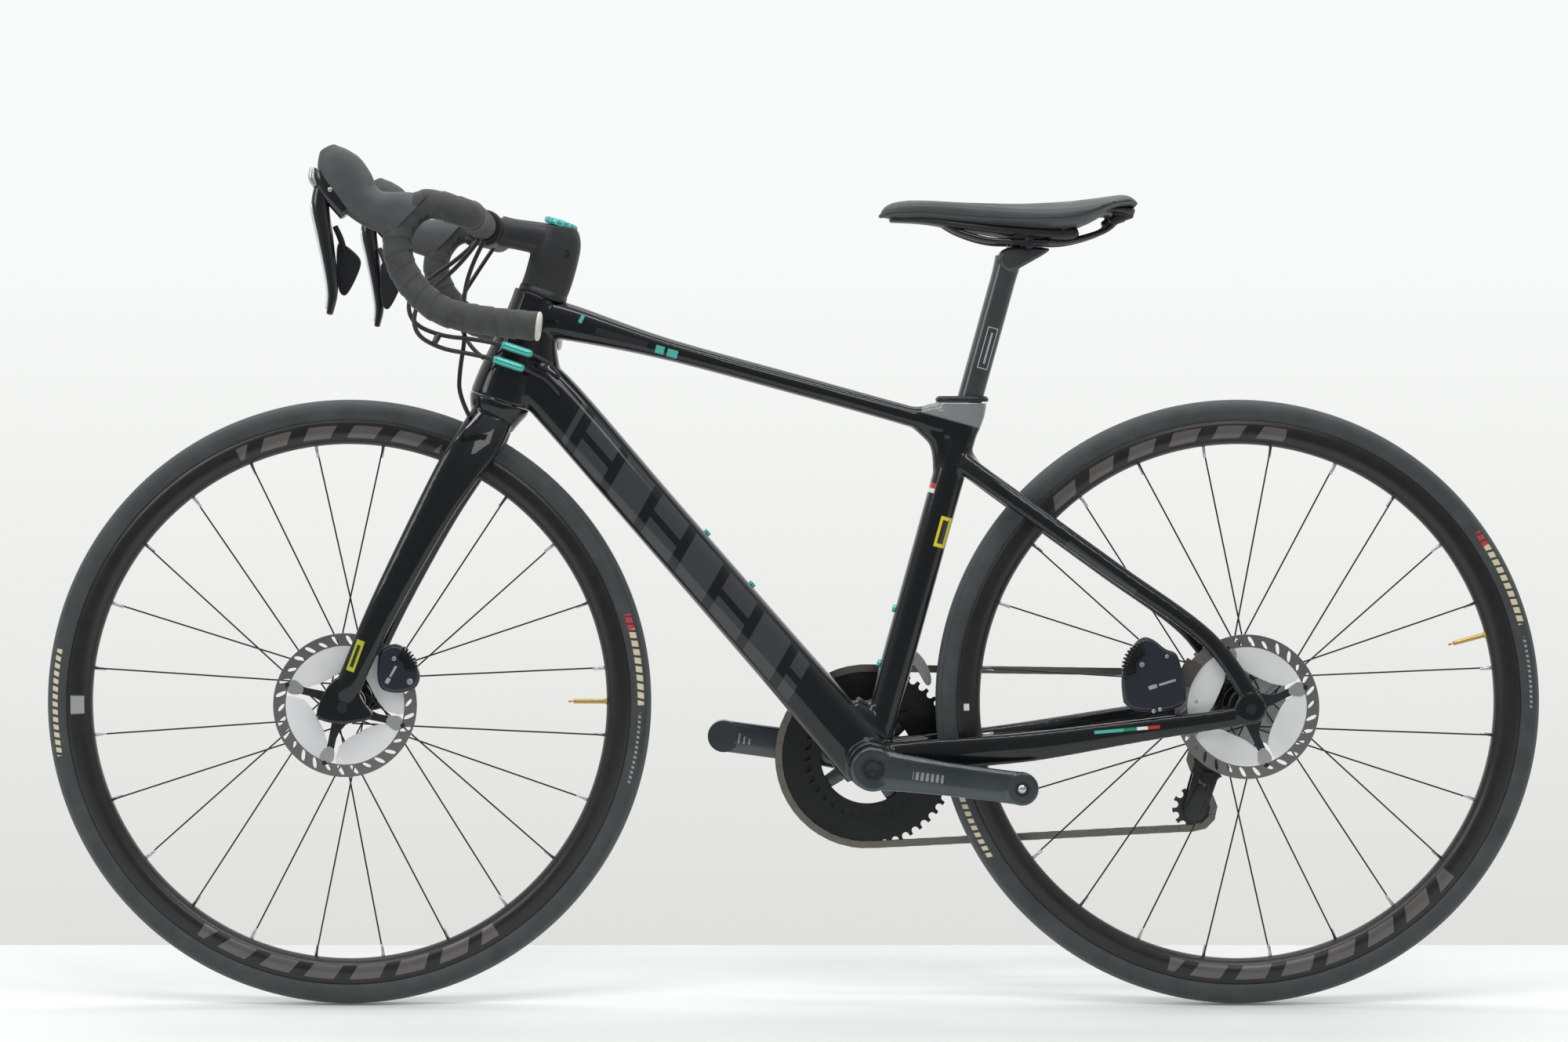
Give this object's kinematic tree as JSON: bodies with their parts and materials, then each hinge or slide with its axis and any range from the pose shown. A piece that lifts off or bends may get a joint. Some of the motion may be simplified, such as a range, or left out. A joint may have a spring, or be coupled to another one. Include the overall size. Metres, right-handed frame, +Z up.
{
  "type": "road bicycle",
  "caption": "Drop-bar road bicycle with a sloping carbon frame, disc brakes, control levers and a derailleur drivetrain, shown without pedals.",
  "frame": {"origin": "on the ground under the bicycle, midway between the wheel axles, in its centre plane", "axes": "+X from the front wheel to the rear wheel, +Z up; the bicycle's left side faces -Y"},
  "size_m": [1.68, 0.4552, 0.946],
  "materials": {
    "carbon": "gloss clear-coated black carbon",
    "tyre": "matte black rubber with a faint file tread",
    "rim": "satin black anodised",
    "spoke_steel": "drawn stainless steel",
    "hub_black": "satin black anodised",
    "rotor_steel": "ground stainless steel with a black carrier",
    "caliper_grey": "dark blue-grey anodised",
    "crank_grey": "dark blue-grey anodised, half gloss",
    "chainring_black": "black anodised with bright tooth edges",
    "cassette_steel": "nickel-plated steel",
    "chain_steel": "worn bronze-grey steel",
    "mech_black": "dark grey anodised",
    "alloy_black": "matte black anodised",
    "bar_tape": "wrapped black foam tape",
    "hood_rubber": "dark grey-green textured rubber",
    "lever_gloss": "gloss dark lever blades with bright edges",
    "plug_cream": "cream plastic",
    "saddle": "dark grey synthetic leather with a soft sheen",
    "saddle_base": "black moulded plastic",
    "rail_steel": "dark tubular steel",
    "hose_black": "black hose jacket",
    "turquoise": "turquoise anodised",
    "pad": "sintered brake pad",
    "bearing": "bearing steel",
    "pulley": "black resin"
  },
  "bodies": {
    "frame": {"main_frame": "carbon", "chainstays": "carbon", "seatstays": "carbon", "frame_bearings": "bearing", "seat_clamp": "carbon", "bottle_bolts": "turquoise", "rear_thru_axle": "hub_black", "chain": "chain_steel", "derailleur_hanger": "mech_black", "front_derailleur_body": "mech_black", "rear_caliper": "caliper_grey", "rear_brake_hose": "hose_black", "shift_housings": "hose_black", "cable_adjusters": "turquoise", "rear_shift_housing": "hose_black"},
    "saddle_post": {"seatpost": "carbon", "rail_clamp": "alloy_black", "saddle_cover": "saddle", "saddle_shell": "saddle_base", "saddle_rails": "rail_steel"},
    "fork": {"fork": "carbon", "stem": "alloy_black", "stem_faceplate": "alloy_black", "headset_covers": "alloy_black", "handlebar": "alloy_black", "bar_tape": "bar_tape", "bar_end_plugs": "plug_cream", "lever_hoods": "hood_rubber", "front_caliper": "caliper_grey", "front_thru_axle": "hub_black", "front_brake_hose": "hose_black"},
    "brake_lever_left": {"brake_lever_left": "lever_gloss"},
    "brake_lever_right": {"brake_lever_right": "lever_gloss"},
    "shift_paddle_left": {"shift_paddle_left": "lever_gloss"},
    "shift_paddle_right": {"shift_paddle_right": "lever_gloss"},
    "front_pad_left": {"front_pad_left": "pad"},
    "front_pad_right": {"front_pad_right": "pad"},
    "rear_pad_left": {"rear_pad_left": "pad"},
    "rear_pad_right": {"rear_pad_right": "pad"},
    "front_wheel": {"front_tyre": "tyre", "front_rim": "rim", "front_spokes": "spoke_steel", "front_hub": "hub_black", "front_rotor": "rotor_steel"},
    "rear_wheel": {"rear_tyre": "tyre", "rear_rim": "rim", "rear_spokes": "spoke_steel", "rear_hub": "hub_black", "rear_rotor": "rotor_steel"},
    "cassette": {"cassette": "cassette_steel"},
    "crankset": {"crank_arm_left": "crank_grey", "crank_arm_right": "crank_grey", "chainrings": "chainring_black"},
    "outer_link": {"derailleur_outer_link": "mech_black"},
    "inner_link": {"derailleur_inner_link": "mech_black"},
    "cage_knuckle": {"derailleur_cage_knuckle": "mech_black"},
    "cage": {"derailleur_cage": "mech_black"},
    "guide_pulley": {"guide_pulley": "pulley"},
    "tension_pulley": {"tension_pulley": "pulley"},
    "front_derailleur_cage": {"front_derailleur_cage": "rail_steel"}
  },
  "joints": [
    {"name": "steering", "type": "hinge", "parent": "frame", "child": "fork", "pos_m": [-0.45272, 0, 0.32372], "axis": [0.3256, 0, 0.9455], "range_deg": [-45, 45], "deforming": ["shift_housings", "rear_brake_hose"]},
    {"name": "front_wheel_spin", "type": "hinge", "parent": "fork", "child": "front_wheel", "pos_m": [-0.5, 0, 0.34], "axis": [0, 1, 0], "continuous": true},
    {"name": "rear_wheel_spin", "type": "hinge", "parent": "frame", "child": "rear_wheel", "pos_m": [0.5, 0, 0.34], "axis": [0, 1, 0], "continuous": true},
    {"name": "crank_spin", "type": "hinge", "parent": "frame", "child": "crankset", "pos_m": [0.08554, 0, 0.272], "axis": [0, 1, 0], "continuous": true, "deforming": ["chain"]},
    {"name": "cassette_spin", "type": "hinge", "parent": "frame", "child": "cassette", "pos_m": [0.5, 0, 0.34], "axis": [0, 1, 0], "continuous": true},
    {"name": "brake_lever_left_squeeze", "type": "hinge", "parent": "fork", "child": "brake_lever_left", "pos_m": [-0.497, -0.202, 0.902], "axis": [0, -1, 0], "range_deg": [0, 20], "stiffness_Nm_per_rad": 1, "springref_deg": -17.19},
    {"name": "shift_paddle_left_push", "type": "hinge", "parent": "brake_lever_left", "child": "shift_paddle_left", "pos_m": [-0.485, -0.189, 0.852], "axis": [1, 0, 0], "range_deg": [0, 15], "stiffness_Nm_per_rad": 0.3, "springref_deg": -17.19},
    {"name": "brake_lever_right_squeeze", "type": "hinge", "parent": "fork", "child": "brake_lever_right", "pos_m": [-0.497, 0.202, 0.902], "axis": [0, -1, 0], "range_deg": [0, 20], "stiffness_Nm_per_rad": 1, "springref_deg": -17.19},
    {"name": "shift_paddle_right_push", "type": "hinge", "parent": "brake_lever_right", "child": "shift_paddle_right", "pos_m": [-0.485, 0.189, 0.852], "axis": [-1, 0, 0], "range_deg": [0, 15], "stiffness_Nm_per_rad": 0.3, "springref_deg": -17.19},
    {"name": "front_pad_left_slide", "type": "slide", "parent": "fork", "child": "front_pad_left", "axis": [0, 1, 0], "range_m": [0, 0.00026]},
    {"name": "front_pad_right_slide", "type": "slide", "parent": "fork", "child": "front_pad_right", "axis": [0, -1, 0], "range_m": [0, 0.00026]},
    {"name": "rear_pad_left_slide", "type": "slide", "parent": "frame", "child": "rear_pad_left", "axis": [0, 1, 0], "range_m": [0, 0.00026]},
    {"name": "rear_pad_right_slide", "type": "slide", "parent": "frame", "child": "rear_pad_right", "axis": [0, -1, 0], "range_m": [0, 0.00026]},
    {"name": "rear_shift", "type": "hinge", "parent": "frame", "child": "outer_link", "pos_m": [0.52876, 0.08734, 0.27947], "axis": [-0.1264, -0.6691, 0.7323], "range_deg": [-11.61, 53.63], "stiffness_Nm_per_rad": 2, "deforming": ["chain"]},
    {"name": "rear_shift_inner", "type": "hinge", "parent": "frame", "child": "inner_link", "pos_m": [0.52978, 0.08066, 0.27354], "axis": [-0.1264, -0.6691, 0.7323], "range_deg": [-11.61, 53.63]},
    {"name": "rear_shift_knuckle", "type": "hinge", "parent": "outer_link", "child": "cage_knuckle", "pos_m": [0.47949, 0.08734, 0.27097], "axis": [-0.1264, -0.6691, 0.7323], "range_deg": [-53.63, 11.61]},
    {"name": "chain_tension", "type": "hinge", "parent": "cage_knuckle", "child": "cage", "pos_m": [0.48, 0.05652, 0.268], "axis": [0, 1, 0], "range_deg": [-25, 35], "stiffness_Nm_per_rad": 1, "deforming": ["chain"]},
    {"name": "guide_pulley_spin", "type": "hinge", "parent": "cage", "child": "guide_pulley", "pos_m": [0.48, 0.05652, 0.268], "axis": [0, 1, 0], "continuous": true},
    {"name": "tension_pulley_spin", "type": "hinge", "parent": "cage", "child": "tension_pulley", "pos_m": [0.462, 0.05652, 0.211], "axis": [0, 1, 0], "continuous": true},
    {"name": "front_shift", "type": "slide", "parent": "frame", "child": "front_derailleur_cage", "axis": [0, -1, 0], "range_m": [0, 0.0062], "stiffness_N_per_m": 2000, "deforming": ["chain"]},
    {"name": "seatpost_height", "type": "slide", "parent": "frame", "child": "saddle_post", "axis": [0.2672, 0, 0.9636], "range_m": [-0.025, 0.05]}
  ],
  "couplings": [
    {"joint": "cassette_spin", "follows": "crank_spin", "ratio": 3.8462},
    {"joint": "guide_pulley_spin", "follows": "crank_spin", "ratio": -4.5455},
    {"joint": "tension_pulley_spin", "follows": "crank_spin", "ratio": 4.5455},
    {"joint": "rear_shift_inner", "follows": "rear_shift", "ratio": 1},
    {"joint": "rear_shift_knuckle", "follows": "rear_shift", "ratio": -1},
    {"joint": "front_pad_left_slide", "follows": "brake_lever_left_squeeze", "m_per_rad": 0.0007162},
    {"joint": "front_pad_right_slide", "follows": "brake_lever_left_squeeze", "m_per_rad": 0.0007162},
    {"joint": "rear_pad_left_slide", "follows": "brake_lever_right_squeeze", "m_per_rad": 0.0007162},
    {"joint": "rear_pad_right_slide", "follows": "brake_lever_right_squeeze", "m_per_rad": 0.0007162}
  ]
}
